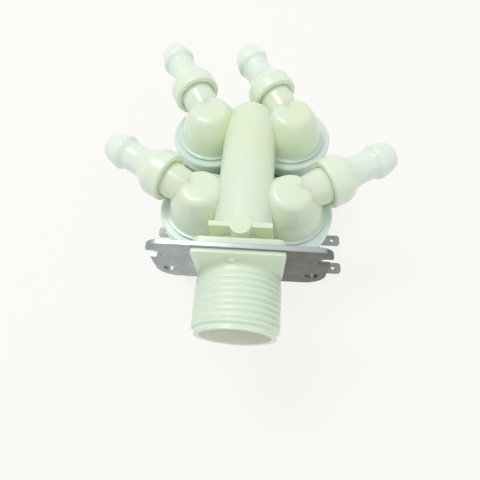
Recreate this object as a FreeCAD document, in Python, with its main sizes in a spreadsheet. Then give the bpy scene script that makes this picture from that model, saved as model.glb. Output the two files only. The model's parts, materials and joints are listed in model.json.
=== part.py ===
import FreeCAD, Part
import math
import os

import Sketcher
from FreeCAD import Placement, Rotation, Vector

# Four-outlet water inlet valve of a washing machine, in millimetres.
# Origin on the inlet axis, in the front face of the bracket. The inlet points along -Y, the coils hang along -Z.

# Driving dimensions: alias, value, what it measures
SIZES = (
    ("threadMajor", 26.441, "outside diameter of the G 3/4 inlet thread"),
    ("threadMinor", 24.117, "root diameter of the thread"),
    ("threadLead", 1.0, "length of the bevel that leads into the thread"),
    ("inletReach", 20.5, "from the bracket's face to the mouth"),
    ("inletBore", 20.6, "bore of the inlet"),
    ("collarWide", 26.8, "width of the collar plate and of the rear flange"),
    ("collarTop", 17.3, "height of the collar plate over the axis"),
    ("collarThick", 1.2, "thickness of the collar plate"),
    ("grooveWide", 1.55, "groove that takes the bracket"),
    ("grooveFloor", 24.0, "diameter at the floor of the groove"),
    ("flangeTop", 16.0, "height of the rear flange over the axis"),
    ("flangeThick", 2.7, "thickness of the rear flange"),
    ("plateCorner", 2.4, "corner radius of the collar plate and the flange"),
    ("manifoldFront", 21.4, "outside diameter of the manifold behind the flange"),
    ("manifoldWide", 19.9, "outside diameter of the manifold past its flare"),
    ("manifoldRear", 18.8, "outside diameter of the manifold where its dome starts"),
    ("flareEnd", 15.5, "from the bracket's face to the end of the manifold's flare"),
    ("manifoldEnd", 58.4, "from the bracket's face to the manifold's dome"),
    ("wall", 2.1, "wall of the manifold"),
    ("seatDeep", 2.0, "from the bracket's face to the regulator's seat"),
    ("seatBore", 18.4, "bore of the regulator's seat"),
    ("seatLong", 4.6, "length of the regulator's seat"),
    ("ribWide", 18.8, "width of the cross rib"),
    ("ribTop", 15.0, "height of the cross rib over the axis"),
    ("ribBack", 9.9, "from the bracket's face to the rear of the cross rib"),
    ("ribThick", 1.6, "thickness of the cross rib"),
    ("bossAcross", 6.4, "diameter of the boss in the cross rib"),
    ("bossTop", 15.8, "height of the boss over the axis"),
    ("bossBack", 12.1, "from the bracket's face to the rear of the boss"),
    ("columnSide", 15.3, "from the middle plane to a row of valve chambers"),
    ("columnFront", 26.5, "from the bracket's face to the front chambers"),
    ("columnPitch", 34.3, "from the front chambers to the rear chambers"),
    ("discAcross", 31.6, "outside diameter of a chamber disc"),
    ("discTop", 5.8, "top of a disc under the inlet axis"),
    ("discStep", 0.9, "drop of the disc's outer ring"),
    ("stepAcross", 26.4, "diameter of the raised middle of a disc"),
    ("discFoot", 11.6, "foot of the disc's skirt under the inlet axis"),
    ("skirt", 1.25, "wall of the disc's skirt"),
    ("turretAcross", 24.1, "diameter of a turret"),
    ("turretTop", 6.8, "flat top of a turret over the inlet axis"),
    ("turretRound", 7.3, "radius of a turret's shoulder"),
    ("partingLine", 9.4, "clamping face of the diaphragm under the inlet axis"),
    ("chamberAcross", 20.4, "outside diameter of the ring chamber"),
    ("chamberTop", 4.7, "roof of the ring chamber under the inlet axis"),
    ("portTop", 1.0, "top of the water ports under the inlet axis"),
    ("portWide", 7.0, "width of the water ports along the manifold"),
    ("seatAcross", 11.4, "outside diameter of the valve seat tube"),
    ("outletBore", 7.6, "bore of the valve seat and of the neck"),
    ("seatLip", 8.0, "lip of the valve seat under the inlet axis"),
    ("neckAcross", 11.6, "outside diameter of a neck"),
    ("neckRise", 0.95, "height of the neck's axis over the inlet axis, at the turret's axis"),
    ("neckTilt", 4.0, "upward tilt of a nozzle in degrees"),
    ("neckEnd", 20.6, "end of the neck from the turret's axis"),
    ("frontTurn", 28.6, "turn of the front nozzles from the side, in degrees"),
    ("rearTurn", 119.3, "turn of the rear nozzles from the right side, in degrees"),
    ("hoseCollar", 17.0, "outside diameter of a nozzle's collar"),
    ("hoseCollarStart", 13.2, "inner end of the collar from the turret's axis"),
    ("hoseCollarLong", 6.2, "length of the straight part of the collar"),
    ("hoseCollarCone", 4.3, "length of the collar's cone"),
    ("weldRing", 14.6, "diameter of the open ring round the neck"),
    ("weldRingDeep", 1.7, "depth of the open ring"),
    ("hosePipe", 10.0, "outside diameter of a hose tail"),
    ("hoseBore", 7.0, "bore of a hose tail"),
    ("barbAcross", 12.3, "diameter of the barb"),
    ("barbStart", 31.2, "start of the barb from the turret's axis"),
    ("barbRise", 1.8, "length of the barb's rear slope"),
    ("barbCrown", 37.0, "where the barb's taper ends, from the turret's axis"),
    ("nozzleEnd", 39.2, "tip of the nozzle from the turret's axis"),
    ("bracketWide", 53.4, "width of the bracket"),
    ("bracketTop", 18.4, "top of the bracket over the inlet axis"),
    ("bracketFoot", 6.6, "foot of the bracket under the inlet axis"),
    ("bracketThick", 1.5, "thickness of the bracket sheet"),
    ("bracketUpperCorner", 4.6, "upper corner radius of the bracket"),
    ("bracketLowerCorner", 6.5, "lower corner radius of the bracket"),
    ("slotHeight", 11.0, "height of the open slots over the inlet axis"),
    ("slotWide", 4.6, "width of the open slots"),
    ("slotInner", 22.9, "inner end of a slot from the middle plane"),
    ("holeSide", 22.3, "from the middle plane to a round hole"),
    ("holeAcross", 4.0, "diameter of the round holes"),
    ("beadAcross", 26.2, "outside diameter of the diaphragm's bead"),
    ("beadInner", 21.8, "inside diameter of the diaphragm's bead"),
    ("beadThick", 1.6, "thickness of the bead"),
    ("diaphragmThick", 1.9, "thickness of the diaphragm's middle"),
    ("diaphragmMiddle", 13.8, "diameter of the diaphragm's thick middle"),
    ("membrane", 0.7, "thickness of the diaphragm's membrane"),
    ("insertStem", 4.6, "diameter of the insert's stem"),
    ("insertHead", 6.6, "diameter of the insert's head in the seat"),
    ("insertPlate", 13.0, "diameter of the insert's lower plate"),
    ("insertPlateThick", 1.0, "thickness of the insert's lower plate"),
    ("pilotNose", 0.9, "height of the pilot nose"),
    ("pilotHole", 1.4, "diameter of the pilot hole"),
    ("diaphragmLift", 1.5, "travel of the diaphragm's middle"),
    ("floorThick", 1.1, "thickness of the guide flange's floor"),
    ("bossFoot", 14.0, "foot of the guide flange under the inlet axis"),
    ("guideBoss", 24.2, "diameter of the guide flange's boss"),
    ("tubeOutside", 11.2, "outside diameter of the guide tube"),
    ("tubeInside", 9.2, "inside diameter of the guide tube"),
    ("tubeEnd", 47.4, "end of the guide tube under the inlet axis"),
    ("tubeBottom", 1.3, "thickness of the guide tube's end"),
    ("plungerAcross", 9.06, "diameter of the plunger"),
    ("plungerLong", 20.0, "length of the plunger"),
    ("plungerStroke", 3.0, "travel of the plunger"),
    ("sealAcross", 4.4, "diameter of the plunger's rubber seal"),
    ("sealLong", 3.4, "length of the plunger's rubber seal"),
    ("sealProud", 0.6, "how far the seal stands out of the plunger"),
    ("springAcross", 6.4, "mean diameter of the return spring"),
    ("springWire", 0.6, "wire of the return spring"),
    ("springPocket", 7.4, "diameter of the spring's pocket in the plunger"),
    ("springPocketDeep", 5.0, "depth of the spring's pocket"),
    ("springTurns", 5.0, "turns of the return spring"),
    ("yokeWide", 24.6, "width of the yoke strap"),
    ("yokeDeep", 26.6, "outside depth of the yoke along the row"),
    ("yokeFoot", 45.0, "underside of the yoke under the inlet axis"),
    ("yokeThick", 1.4, "thickness of the yoke strap"),
    ("yokeCorner", 1.9, "outside corner radius of the yoke"),
    ("yokeSleeve", 13.2, "outside diameter of the yoke's drawn sleeves"),
    ("yokeSleeveLong", 5.0, "length of the drawn sleeves inside the yoke"),
    ("bobbinTube", 15.6, "outside diameter of the bobbin's tube"),
    ("bobbinFlange", 22.0, "diameter of the bobbin's flanges"),
    ("bobbinFlangeThick", 1.4, "thickness of the bobbin's upper flange"),
    ("bobbinBaseThick", 3.6, "thickness of the bobbin's base"),
    ("windingAcross", 21.2, "outside diameter of the winding"),
    ("jacketAcross", 23.6, "outside diameter of the coil's jacket"),
    ("blockReach", 15.0, "reach of the terminal block from the coil's axis"),
    ("blockWide", 19.4, "width of the terminal block"),
    ("tabWide", 4.8, "width of a terminal"),
    ("tabThick", 0.8, "thickness of a terminal"),
    ("tabPitch", 13.2, "distance between the two terminals"),
    ("tabReach", 25.5, "tip of a terminal from the coil's axis"),
    ("tabRoot", 12.4, "root of a terminal in the block"),
    ("tabHeight", 42.0, "middle of the terminals under the inlet axis"),
    ("tabHole", 1.5, "diameter of the hole in a terminal"),
    ("tabHoleInset", 3.3, "from a terminal's tip to its hole"),
    ("tabBevel", 0.9, "bevel of a terminal's corners"),
    ("clipAcross", 17.0, "diameter of the retaining ring"),
    ("clipThick", 0.5, "thickness of the retaining ring"),
    ("clipTeeth", 6.0, "slits of the retaining ring"),
    ("strainerAcross", 18.0, "outside diameter of the strainer's cup"),
    ("strainerRim", 20.2, "diameter of the strainer's rim"),
    ("strainerLong", 12.6, "length of the strainer"),
    ("strainerWall", 1.0, "wall of the strainer"),
    ("strainerSlots", 12.0, "slots round the strainer"),
    ("strainerSlotWide", 2.2, "width of a strainer slot"),
    ("carrierHub", 14.4, "pocket of the flow regulator for its washer"),
    ("carrierThick", 4.4, "thickness of the flow regulator"),
    ("carrierFloor", 1.2, "thickness of the flow regulator's floor"),
    ("washerThick", 2.4, "thickness of the flow washer"),
    ("washerHole", 4.6, "hole of the flow washer"),
    ("fitGap", 0.05, "clearance round pieces that are pressed or welded together"),
    ("looseGap", 0.15, "clearance round pieces that are laid in"),
)


class Size:
    """A number together with the sheet expression that gives it."""

    def __init__(self, value, text):
        self.value = value
        self.text = text

    def __add__(self, other):
        return combined(self, other, "+")

    def __radd__(self, other):
        return combined(asSize(other), self, "+")

    def __sub__(self, other):
        return combined(self, other, "-")

    def __rsub__(self, other):
        return combined(asSize(other), self, "-")

    def __mul__(self, other):
        return combined(self, other, "*")

    def __rmul__(self, other):
        return combined(asSize(other), self, "*")

    def __truediv__(self, other):
        return combined(self, other, "/")

    def __neg__(self):
        return combined(asSize(0), self, "-")

    def __float__(self):
        return float(self.value)


def asSize(thing):
    if isinstance(thing, Size):
        return thing
    return Size(float(thing), "(%s)" % repr(float(thing)))


def combined(left, right, sign):
    left = asSize(left)
    right = asSize(right)
    results = {
        "+": left.value + right.value,
        "-": left.value - right.value,
        "*": left.value * right.value,
        "/": left.value / right.value if right.value else 0.0,
    }
    return Size(results[sign], "(%s %s %s)" % (left.text, sign, right.text))


class Sizes:
    """The sheet's cells as Size values, read by name."""


doc = FreeCAD.newDocument("InletValve")
sheet = doc.addObject("Spreadsheet::Sheet", "Sizes")
d = Sizes()
for row, (alias, value, note) in enumerate(SIZES, start=1):
    sheet.set("A%d" % row, note)
    sheet.set("B%d" % row, str(value))
    sheet.setAlias("B%d" % row, alias)
    setattr(d, alias, Size(float(value), "Sizes.%s" % alias))
doc.recompute()

# Clamped rim, coil space and other places that several pieces share
flangeBack = d.grooveWide + d.flangeThick
coilTop = d.bossFoot + d.yokeThick
coilFoot = d.yokeFoot - d.yokeThick
insertPlateTop = d.seatLip + d.diaphragmThick
insertPlateFoot = insertPlateTop + d.insertPlateThick
pilotFace = insertPlateFoot + d.pilotNose
sealTop = pilotFace + d.looseGap
plungerTop = sealTop + d.sealProud
plungerFoot = plungerTop + d.plungerLong
chamberFloor = insertPlateFoot + d.diaphragmLift + d.looseGap
springSeat = d.tubeEnd - d.tubeBottom

STATIONS = (
    ("front_left", -1, 0),
    ("front_right", 1, 0),
    ("rear_left", -1, 1),
    ("rear_right", 1, 1),
)


def stationY(rank):
    return d.columnFront + d.columnPitch * rank


def nozzleTurn(side, rank):
    """Heading of a nozzle in degrees from +X: the front pair mirror each other, the rear pair are parallel."""
    if rank:
        return d.rearTurn
    return d.frontTurn if side > 0 else 180 - d.frontTurn


def bindPlace(thing, prefix, x, y, z):
    """Tie a placement's base to the sheet."""
    for letter, size in (("x", x), ("y", y), ("z", z)):
        thing.setExpression("%sBase.%s" % (prefix, letter), asSize(size).text)


def nozzlePlacement(side, rank):
    """Local x runs along the nozzle from the turret's axis."""
    turn = Rotation(Vector(0, 0, 1), float(nozzleTurn(side, rank)))
    tilt = Rotation(Vector(0, 1, 0), -float(d.neckTilt))
    base = Vector(side * float(d.columnSide), float(stationY(rank)), float(d.neckRise))
    return Placement(base, turn.multiply(tilt))


def newBody(label):
    return doc.addObject("PartDesign::Body", label)


def newSketch(body, plane, place=None):
    """A sketch on one of the body's own origin planes, moved by place when it is given."""
    sketch = body.newObject("Sketcher::SketchObject", "Sketch")
    support = [feature for feature in body.Origin.OriginFeatures if feature.Role == plane][0]
    sketch.AttachmentSupport = [(support, "")]
    sketch.MapMode = "FlatFace"
    if place is not None:
        sketch.AttachmentOffset = place
    return sketch


def pin(sketch, edge, end, x, y):
    """Fix one end of an edge at x, y of the sketch."""
    for kind, size, axis in (("DistanceX", x, -2), ("DistanceY", y, -1)):
        if abs(float(size)) < 1e-9:
            sketch.addConstraint(Sketcher.Constraint("PointOnObject", edge, end, axis))
            continue
        number = sketch.addConstraint(Sketcher.Constraint(kind, -1, 1, edge, end, float(size)))
        if isinstance(size, Size):
            sketch.setExpression("Constraints[%d]" % number, size.text)


def outline(sketch, corners):
    """A closed outline. A corner is (x, y), or (x, y, radius, turn) for an arc that leads to it; turn is 1 when
    the arc runs anticlockwise."""
    first = sketch.GeometryCount
    count = len(corners)
    ends = []
    for index, corner in enumerate(corners):
        after = corners[(index + 1) % count]
        start = Vector(float(corner[0]), float(corner[1]), 0)
        stop = Vector(float(after[0]), float(after[1]), 0)
        if len(after) == 2:
            sketch.addGeometry(Part.LineSegment(start, stop), False)
            ends.append((1, 2))
            continue
        radius = float(after[2])
        turn = after[3]
        chord = stop - start
        reach = math.sqrt(max(radius ** 2 - chord.Length ** 2 / 4, 0))
        side = Vector(-chord.y, chord.x, 0).normalize() * (turn * reach)
        middle = (start + stop) * 0.5 + side
        circle = Part.Circle(middle, Vector(0, 0, 1), radius)
        angles = [math.atan2(point.y - middle.y, point.x - middle.x) for point in (start, stop)]
        if turn < 0:
            angles.reverse()
        sketch.addGeometry(Part.ArcOfCircle(circle, angles[0], angles[1]), False)
        ends.append((1, 2) if turn > 0 else (2, 1))
    for index in range(count):
        following = (index + 1) % count
        sketch.addConstraint(
            Sketcher.Constraint("Coincident", first + index, ends[index][1], first + following, ends[following][0])
        )
    for index, corner in enumerate(corners):
        pin(sketch, first + index, ends[index][0], corner[0], corner[1])
        after = corners[(index + 1) % count]
        if len(after) == 2:
            continue
        reach = math.hypot(float(after[0]) - float(corner[0]), float(after[1]) - float(corner[1]))
        if reach < 1.999 * float(after[2]):
            number = sketch.addConstraint(Sketcher.Constraint("Radius", first + index, float(after[2])))
            sketch.setExpression("Constraints[%d]" % number, asSize(after[2]).text)
        elif abs(float(after[0]) - float(corner[0])) < 1e-6:
            sketch.addConstraint(Sketcher.Constraint("Vertical", first + index, 3, first + index, 1))
        else:
            sketch.addConstraint(Sketcher.Constraint("Horizontal", first + index, 3, first + index, 1))
    return sketch


def ring(sketch, x, y, across):
    """A circle of the diameter across about x, y."""
    number = sketch.GeometryCount
    centre = Vector(float(x), float(y), 0)
    sketch.addGeometry(Part.Circle(centre, Vector(0, 0, 1), float(across) / 2), False)
    pin(sketch, number, 3, x, y)
    constraint = sketch.addConstraint(Sketcher.Constraint("Diameter", number, float(across)))
    sketch.setExpression("Constraints[%d]" % constraint, asSize(across).text)


def revolve(body, sketch, axis="V_Axis", cut=False):
    kind = "PartDesign::Groove" if cut else "PartDesign::Revolution"
    feature = body.newObject(kind, "Cut" if cut else "Turned")
    feature.Profile = sketch
    feature.ReferenceAxis = (sketch, [axis])
    feature.Angle = 360
    return feature


def extrude(body, sketch, length, cut=False, reverse=False, middle=False):
    kind = "PartDesign::Pocket" if cut else "PartDesign::Pad"
    feature = body.newObject(kind, "Pocket" if cut else "Pad")
    feature.Profile = sketch
    feature.Length = float(length)
    feature.setExpression("Length", asSize(length).text)
    feature.Reversed = reverse
    feature.Midplane = middle
    return feature


def atStation(body, side, rank):
    """Carry a body that was drawn about Z to its station. The left ones are turned so that their terminals
    point outwards too."""
    turn = Rotation(Vector(0, 0, 1), 180 if side < 0 else 0)
    body.Placement = Placement(Vector(side * float(d.columnSide), float(stationY(rank)), 0), turn)
    bindPlace(body, "Placement.", d.columnSide * side, stationY(rank), 0)
    return body


def turnedPiece(label, corners, side, rank):
    """A piece turned about the station's axis: corners are (radius, height)."""
    body = newBody(label)
    revolve(body, outline(newSketch(body, "XZ_Plane"), corners))
    return atStation(body, side, rank)


def plate(body, front, thick, half, top):
    """A cross plate of the body with its front face at front."""
    sketch = newSketch(body, "XZ_Plane", Placement(Vector(0, 0, -float(front)), Rotation()))
    sketch.setExpression("AttachmentOffset.Base.z", (-asSize(front)).text)
    corner = d.plateCorner
    corners = [
        (half, 0, half, 1),
        (half, top - corner),
        (half - corner, top, corner, 1),
        (corner - half, top),
        (-half, top - corner, corner, 1),
        (-half, 0),
    ]
    outline(sketch, corners)
    extrude(body, sketch, thick, reverse=True)


def addInlet(body):
    """Inlet tube drawn to its thread's crests, groove neck and manifold with its dome, turned about the inlet's
    axis."""
    dome = d.manifoldRear / 2
    corners = [
        (0, -d.inletReach),
        (d.threadMinor / 2, -d.inletReach),
        (d.threadMajor / 2, d.threadLead - d.inletReach),
        (d.threadMajor / 2, -d.collarThick),
        (d.grooveFloor / 2, -d.collarThick),
        (d.grooveFloor / 2, flangeBack),
        (d.manifoldFront / 2, flangeBack),
        (d.manifoldWide / 2, d.flareEnd),
        (dome, d.manifoldEnd),
        (0, d.manifoldEnd + dome, dome, 1),
    ]
    revolve(body, outline(newSketch(body, "XY_Plane"), corners))
    plate(body, -d.collarThick, d.collarThick, d.collarWide / 2, d.collarTop)
    plate(body, d.grooveWide, d.flangeThick, d.collarWide / 2, d.flangeTop)


def addRib(body):
    """Cross rib with its round boss on the manifold, behind the flange."""
    sketch = newSketch(body, "XY_Plane")
    half = d.ribWide / 2
    outline(sketch, [(-half, d.ribBack - d.ribThick), (half, d.ribBack - d.ribThick), (half, d.ribBack), (-half, d.ribBack)])
    extrude(body, sketch, d.ribTop)
    sketch = newSketch(body, "XY_Plane")
    ring(sketch, asSize(0), d.bossBack - d.bossAcross / 2, d.bossAcross)
    extrude(body, sketch, d.bossTop)


def addTurret(body, side, rank):
    """Chamber disc and turret with its rounded shoulder."""
    place = Placement(Vector(side * float(d.columnSide), 0, -float(stationY(rank))), Rotation())
    sketch = newSketch(body, "XZ_Plane", place)
    bindPlace(sketch, "AttachmentOffset.", d.columnSide * side, 0, -stationY(rank))
    edge = d.discAcross / 2
    bevel = d.discStep / 2
    corners = [
        (0, -d.discFoot),
        (edge, -d.discFoot),
        (edge, -d.discTop - d.discStep - bevel),
        (edge - bevel, -d.discTop - d.discStep),
        (d.stepAcross / 2, -d.discTop - d.discStep),
        (d.stepAcross / 2 - d.discStep, -d.discTop),
        (d.turretAcross / 2, -d.discTop),
        (d.turretAcross / 2, d.turretTop - d.turretRound),
        (d.turretAcross / 2 - d.turretRound, d.turretTop, d.turretRound, 1),
        (0, d.turretTop),
    ]
    revolve(body, outline(sketch, corners))


def addNeck(body, side, rank):
    """Round neck that carries the nozzle."""
    neck = body.newObject("PartDesign::AdditiveCylinder", "Neck")
    start = d.neckAcross / 4
    neck.Radius = float(d.neckAcross) / 2
    neck.setExpression("Radius", (d.neckAcross / 2).text)
    neck.Height = float(d.neckEnd - start)
    neck.setExpression("Height", (d.neckEnd - start).text)
    turned = Placement(Vector(float(start), 0, 0), Rotation(Vector(0, 1, 0), 90))
    neck.Placement = nozzlePlacement(side, rank).multiply(turned)


def cutWaterway(body):
    """Inlet bore, seat of the flow regulator and the manifold's inside, drawn from the mouth inwards."""
    front = d.manifoldWide / 2 - d.wall
    rear = d.manifoldRear / 2 - d.wall
    seatEnd = d.seatDeep + d.seatLong
    corners = [
        (0, -d.inletReach),
        (d.inletBore / 2, -d.inletReach),
        (d.inletBore / 2, d.seatDeep),
        (d.seatBore / 2, d.seatDeep),
        (d.seatBore / 2, seatEnd),
        (front, seatEnd),
        (rear, d.manifoldEnd),
        (0, d.manifoldEnd + rear, rear, 1),
    ]
    revolve(body, outline(newSketch(body, "XY_Plane"), corners), cut=True)


def cutChamber(body, side, rank):
    """Recess of the guide flange, bead seat, ring chamber and outlet bore of one valve."""
    place = Placement(Vector(side * float(d.columnSide), 0, -float(stationY(rank))), Rotation())
    sketch = newSketch(body, "XZ_Plane", place)
    bindPlace(sketch, "AttachmentOffset.", d.columnSide * side, 0, -stationY(rank))
    recess = d.discAcross / 2 - d.skirt
    beadRoof = d.partingLine - d.beadThick / 2
    corners = [
        (0, -d.discFoot),
        (recess, -d.discFoot),
        (recess, -d.partingLine),
        (d.beadAcross / 2, -d.partingLine),
        (d.beadAcross / 2, -beadRoof),
        (d.beadInner / 2, -beadRoof),
        (d.beadInner / 2, -beadRoof - d.membrane / 2),
        (d.chamberAcross / 2, -beadRoof - d.membrane / 2),
        (d.chamberAcross / 2, -d.chamberTop),
        (d.seatAcross / 2, -d.chamberTop),
        (d.seatAcross / 2, -d.seatLip),
        (d.outletBore / 2, -d.seatLip),
        (d.outletBore / 2, d.neckRise + d.outletBore / 2),
        (0, d.neckRise + d.outletBore / 2),
    ]
    revolve(body, outline(sketch, corners), cut=True)


def cutOutlet(body, side, rank):
    """Bore of the neck, from the turret's axis outwards."""
    bore = body.newObject("PartDesign::SubtractiveCylinder", "Outlet")
    bore.Radius = float(d.outletBore) / 2
    bore.setExpression("Radius", (d.outletBore / 2).text)
    bore.Height = float(d.neckEnd) + 1
    bore.setExpression("Height", (d.neckEnd + 1).text)
    bore.Placement = nozzlePlacement(side, rank).multiply(Placement(Vector(), Rotation(Vector(0, 1, 0), 90)))


def cutPort(body, side, rank):
    """Opening between the manifold and the ring chamber, cut downwards into the chamber."""
    sketch = newSketch(body, "XY_Plane", Placement(Vector(0, 0, -float(d.portTop)), Rotation()))
    sketch.setExpression("AttachmentOffset.Base.z", (-d.portTop).text)
    middle = stationY(rank)
    inner = (d.columnSide - d.chamberAcross / 2 + d.wall / 8) * side
    outer = (d.columnSide - d.seatAcross / 2 - d.wall / 4) * side
    half = d.portWide / 2
    corners = [(inner, middle - half), (outer, middle - half), (outer, middle + half), (inner, middle + half)]
    if side < 0:
        corners.reverse()
    outline(sketch, corners)
    extrude(body, sketch, d.chamberTop + d.wall / 2 - d.portTop, cut=True)


def makeValveBody():
    body = newBody("valve_body")
    addInlet(body)
    addRib(body)
    for name, side, rank in STATIONS:
        addTurret(body, side, rank)
        addNeck(body, side, rank)
    cutWaterway(body)
    for name, side, rank in STATIONS:
        cutChamber(body, side, rank)
        cutOutlet(body, side, rank)
        cutPort(body, side, rank)


def makeBracket():
    """Saddle plate with a round-topped notch, two open slots and two round holes, front face in the origin."""
    body = newBody("mounting_bracket")
    sketch = newSketch(body, "XZ_Plane")
    side = d.bracketWide / 2
    upper = d.bracketUpperCorner
    lower = d.bracketLowerCorner
    notch = d.grooveFloor / 2 + d.fitGap
    slot = d.slotWide / 2
    corners = [
        (side, lower - d.bracketFoot),
        (side, d.slotHeight - slot),
        (d.slotInner + slot, d.slotHeight - slot),
        (d.slotInner + slot, d.slotHeight + slot, slot, -1),
        (side, d.slotHeight + slot),
        (side - upper, d.bracketTop, upper, 1),
        (upper - side, d.bracketTop),
        (-side, d.slotHeight + slot, upper, 1),
        (-d.slotInner - slot, d.slotHeight + slot),
        (-d.slotInner - slot, d.slotHeight - slot, slot, -1),
        (-side, d.slotHeight - slot),
        (-side, lower - d.bracketFoot),
        (lower - side, -d.bracketFoot, lower, 1),
        (-notch, -d.bracketFoot),
        (-notch, 0),
        (notch, 0, notch, -1),
        (notch, -d.bracketFoot),
        (side - lower, -d.bracketFoot),
    ]
    corners[0] = corners[0] + (lower, 1)
    outline(sketch, corners)
    for hand in (-1, 1):
        ring(sketch, d.holeSide * hand, asSize(0), d.holeAcross)
    extrude(body, sketch, d.bracketThick, reverse=True)


def makeStrainer():
    """Cup filter with a rim in the inlet's bore and slots round its wall."""
    body = newBody("inlet_strainer")
    rim = d.strainerRim / 2
    cup = d.strainerAcross / 2
    foot = d.seatDeep - d.looseGap
    mouth = foot - d.strainerLong
    corners = [
        (cup - d.strainerWall, mouth),
        (rim, mouth),
        (rim, mouth + d.strainerWall),
        (cup, mouth + d.strainerWall),
        (cup - d.strainerWall, foot),
        (0, foot),
        (0, foot - d.strainerWall),
        (cup - d.strainerWall * 2, foot - d.strainerWall),
    ]
    revolve(body, outline(newSketch(body, "XY_Plane"), corners))
    sketch = newSketch(body, "XY_Plane")
    half = d.strainerSlotWide / 2
    outline(
        sketch,
        [
            (-half, mouth + d.strainerWall * 3),
            (half, mouth + d.strainerWall * 3),
            (half, foot - d.strainerWall * 2),
            (-half, foot - d.strainerWall * 2),
        ],
    )
    window = extrude(body, sketch, d.strainerAcross, cut=True, reverse=True)
    spread = body.newObject("PartDesign::PolarPattern", "Windows")
    spread.Originals = [window]
    spread.Axis = (sketch, ["V_Axis"])
    spread.Angle = 360
    spread.Occurrences = int(float(d.strainerSlots))
    spread.setExpression("Occurrences", d.strainerSlots.text)
    body.Tip = spread


def makeRegulator():
    """Carrier in its seat, with a pocket for the washer and a hole through its floor."""
    body = newBody("flow_regulator")
    edge = d.seatBore / 2 - d.fitGap
    back = d.seatDeep + d.carrierThick
    pocket = d.carrierHub / 2
    hole = d.washerHole / 2
    corners = [
        (hole, back - d.carrierFloor),
        (hole, back),
        (edge, back),
        (edge, d.seatDeep),
        (pocket, d.seatDeep),
        (pocket, back - d.carrierFloor),
    ]
    revolve(body, outline(newSketch(body, "XY_Plane"), corners))


def makeFlowWasher():
    """Rubber washer in the carrier's pocket."""
    body = newBody("flow_washer")
    floor = d.seatDeep + d.carrierThick - d.carrierFloor
    edge = d.carrierHub / 2 - d.fitGap
    hole = d.washerHole / 2
    corners = [(hole, floor - d.washerThick), (edge, floor - d.washerThick), (edge, floor), (hole, floor)]
    revolve(body, outline(newSketch(body, "XY_Plane"), corners))


def makeNozzle(label, side, rank):
    """Hose tail: collar over the neck, cone, pipe and barb, turned about local x."""
    body = newBody(label)
    collar = d.hoseCollar / 2
    start = d.hoseCollarStart
    shoulder = start + d.hoseCollarLong
    cone = shoulder + d.hoseCollarCone
    pipe = d.hosePipe / 2
    barb = d.barbAcross / 2
    tip = d.hoseBore / 2 + (d.nozzleEnd - d.barbCrown) / 2
    crown = tip + (d.nozzleEnd - d.barbCrown) / 2
    socket = d.neckAcross / 2 + d.fitGap
    corners = [
        (start, d.weldRing / 2),
        (start, collar - d.fitGap * 4),
        (start + d.fitGap * 4, collar),
        (shoulder, collar),
        (cone, pipe),
        (d.barbStart, pipe),
        (d.barbStart + d.barbRise, barb),
        (d.barbCrown, crown),
        (d.nozzleEnd, tip),
        (d.nozzleEnd, d.hoseBore / 2),
        (d.neckEnd + d.fitGap, d.hoseBore / 2),
        (d.neckEnd + d.fitGap, socket),
        (start + d.weldRingDeep, socket),
        (start + d.weldRingDeep, d.weldRing / 2),
    ]
    revolve(body, outline(newSketch(body, "XY_Plane"), corners), axis="H_Axis")
    body.Placement = nozzlePlacement(side, rank)
    bindPlace(body, "Placement.", d.columnSide * side, stationY(rank), d.neckRise)


def makeGuideTube(label, side, rank):
    """Flange that closes the chamber, its boss and the closed tube of the plunger."""
    flange = d.discAcross / 2 - d.skirt - d.fitGap
    inner = d.beadInner / 2 - d.looseGap
    corners = [
        (d.tubeInside / 2, -chamberFloor),
        (inner, -chamberFloor),
        (inner, -d.partingLine - d.membrane / 2),
        (d.beadInner / 2, -d.partingLine - d.membrane / 2),
        (d.beadInner / 2, -d.partingLine - d.beadThick / 2),
        (d.beadAcross / 2, -d.partingLine - d.beadThick / 2),
        (d.beadAcross / 2, -d.partingLine),
        (flange, -d.partingLine),
        (flange, -d.discFoot),
        (d.guideBoss / 2, -d.discFoot),
        (d.guideBoss / 2, -d.bossFoot),
        (d.tubeOutside / 2, -d.bossFoot),
        (d.tubeOutside / 2, -d.tubeEnd),
        (0, -d.tubeEnd),
        (0, -springSeat),
        (d.tubeInside / 2, -springSeat),
    ]
    turnedPiece(label, corners, side, rank)


def makeDiaphragm(label, side, rank):
    """Bead, thin membrane and thick middle with the stem's hole."""
    stem = d.insertStem / 2 + d.fitGap
    middle = d.diaphragmMiddle / 2
    bead = d.beadAcross / 2
    beadFoot = d.partingLine + d.beadThick / 2
    beadRoof = d.partingLine - d.beadThick / 2
    inner = d.beadInner / 2
    film = d.partingLine - d.membrane / 2
    corners = [
        (stem, -insertPlateTop),
        (middle, -insertPlateTop),
        (middle, -film - d.membrane),
        (inner, -film - d.membrane),
        (inner, -beadFoot),
        (bead, -beadFoot),
        (bead, -beadRoof),
        (inner, -beadRoof),
        (inner, -film),
        (middle, -film),
        (middle, -d.seatLip),
        (stem, -d.seatLip),
    ]
    turnedPiece(label, corners, side, rank)


def makePilotInsert(label, side, rank):
    """Head in the seat, stem through the diaphragm, lower plate and pilot nose, with the pilot hole through it."""
    hole = d.pilotHole / 2
    head = d.insertHead / 2
    stem = d.insertStem / 2
    nose = d.pilotHole
    corners = [
        (hole, -pilotFace),
        (nose, -pilotFace),
        (nose + d.pilotNose / 2, -insertPlateFoot),
        (d.insertPlate / 2, -insertPlateFoot),
        (d.insertPlate / 2, -insertPlateTop),
        (stem, -insertPlateTop),
        (stem, -d.seatLip),
        (head, -d.seatLip),
        (stem, d.insertPlateThick * 2 - d.seatLip),
        (hole, d.insertPlateThick * 2 - d.seatLip),
    ]
    turnedPiece(label, corners, side, rank)


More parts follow.
